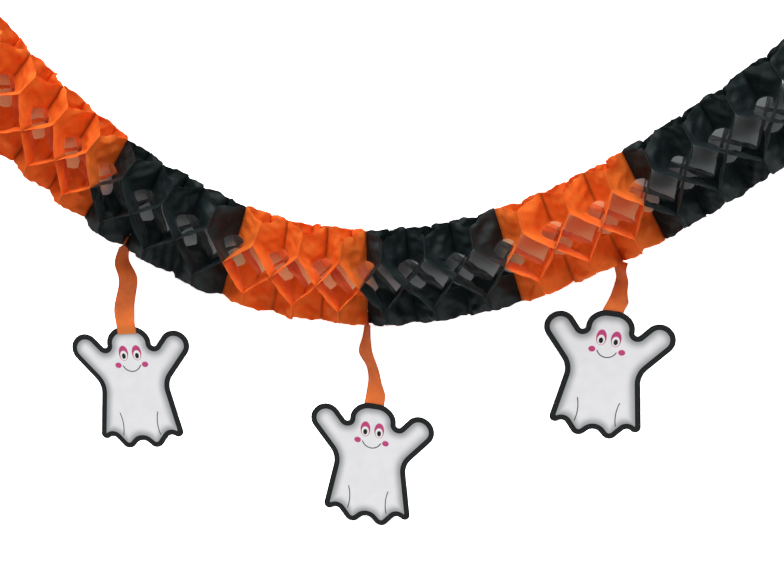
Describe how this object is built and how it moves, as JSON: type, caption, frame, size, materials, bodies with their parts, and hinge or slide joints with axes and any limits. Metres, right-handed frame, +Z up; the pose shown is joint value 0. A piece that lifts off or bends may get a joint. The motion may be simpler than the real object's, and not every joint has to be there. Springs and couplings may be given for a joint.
{
  "type": "paper garland",
  "caption": "Pull-out garland of die-cut tissue rings in orange and black sections, hung in a shallow curve, with printed ghost cards on paper ribbons.",
  "frame": {"origin": "middle of the left end card's outer face, where the garland is held", "axes": "+X from the left end to the right end as seen from the front, -Y towards the viewer at the front, +Z up as it hangs"},
  "size_m": [1.0664, 0.1136, 0.6245],
  "materials": {
    "orange_tissue": "matt crepe-like tissue, slightly translucent",
    "black_tissue": "matt tissue, dyed black",
    "end_card": "uncoated board",
    "orange_ribbon": "matt dyed paper strip",
    "ghost_card": "coated white board, printed on both sides"
  },
  "bodies": {
    "root": {"black_ring_09": "black_tissue", "black_ring_10": "black_tissue", "black_ring_11": "black_tissue", "black_ring_12": "black_tissue", "black_ring_13": "black_tissue", "black_ring_14": "black_tissue", "black_ring_21": "black_tissue", "black_ring_22": "black_tissue", "black_ring_23": "black_tissue", "black_ring_24": "black_tissue", "black_ring_25": "black_tissue", "black_ring_26": "black_tissue", "black_ring_33": "black_tissue", "black_ring_34": "black_tissue", "black_ring_35": "black_tissue", "black_ring_36": "black_tissue", "black_ring_37": "black_tissue", "black_ring_38": "black_tissue", "black_ring_39": "black_tissue", "black_ring_40": "black_tissue", "end_card_left": "end_card", "end_card_right": "end_card", "ghost_card_left": "ghost_card", "ghost_card_middle": "ghost_card", "ghost_card_right": "ghost_card", "orange_ring_01": "orange_tissue", "orange_ring_02": "orange_tissue", "orange_ring_03": "orange_tissue", "orange_ring_04": "orange_tissue", "orange_ring_05": "orange_tissue", "orange_ring_06": "orange_tissue", "orange_ring_07": "orange_tissue", "orange_ring_08": "orange_tissue", "orange_ring_15": "orange_tissue", "orange_ring_16": "orange_tissue", "orange_ring_17": "orange_tissue", "orange_ring_18": "orange_tissue", "orange_ring_19": "orange_tissue", "orange_ring_20": "orange_tissue", "orange_ring_27": "orange_tissue", "orange_ring_28": "orange_tissue", "orange_ring_29": "orange_tissue", "orange_ring_30": "orange_tissue", "orange_ring_31": "orange_tissue", "orange_ring_32": "orange_tissue", "ribbon_left": "orange_ribbon", "ribbon_middle": "orange_ribbon", "ribbon_right": "orange_ribbon"}
  },
  "joints": []
}
